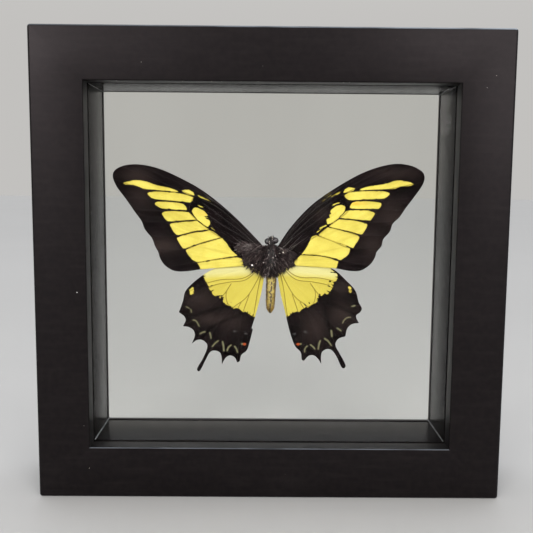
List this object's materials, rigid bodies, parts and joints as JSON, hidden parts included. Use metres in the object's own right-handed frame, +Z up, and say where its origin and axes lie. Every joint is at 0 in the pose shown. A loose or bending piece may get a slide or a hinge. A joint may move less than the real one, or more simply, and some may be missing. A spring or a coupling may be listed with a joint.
{
  "type": "framed butterfly specimen",
  "caption": "Spread swallowtail butterfly held between two glass panes in a square, see-through black wooden box frame that stands on its bottom rail.",
  "frame": {"origin": "middle of the bounding box's bottom face, on the surface that the frame stands on", "axes": "+Z up; the glazed front with the butterfly's upper side faces -Y and the back with the hanger faces +Y; seen from the front +X is to the right"},
  "size_m": [0.2, 0.0436, 0.2],
  "materials": {
    "black_wood": "satin black lacquer, faint grain",
    "black_lining": "satin black lacquer, slightly glossier than the rails",
    "glass": "clear, plain transmission",
    "clear_acrylic": "clear, polished",
    "furred_body": "brown-black hair on the thorax, ochre scales on the abdomen",
    "wing_scales": "matte scales, yellow marks on brown-black",
    "plated_steel": "plated, lightly dulled"
  },
  "bodies": {
    "root": {"rail_bottom": "black_wood", "rail_top": "black_wood", "rail_left": "black_wood", "rail_right": "black_wood", "front_glass": "glass", "rear_glass": "glass", "spacer_bottom": "black_lining", "spacer_top": "black_lining", "spacer_left": "black_lining", "spacer_right": "black_lining", "retainer_bottom": "black_wood", "retainer_top": "black_wood", "retainer_left": "black_wood", "retainer_right": "black_wood", "butterfly_body": "furred_body", "forewing_left": "wing_scales", "forewing_right": "wing_scales", "hindwing_left": "wing_scales", "hindwing_right": "wing_scales", "mounting_post": "clear_acrylic", "sawtooth_hanger": "plated_steel", "hanger_nail_left": "plated_steel", "hanger_nail_right": "plated_steel"}
  },
  "joints": []
}
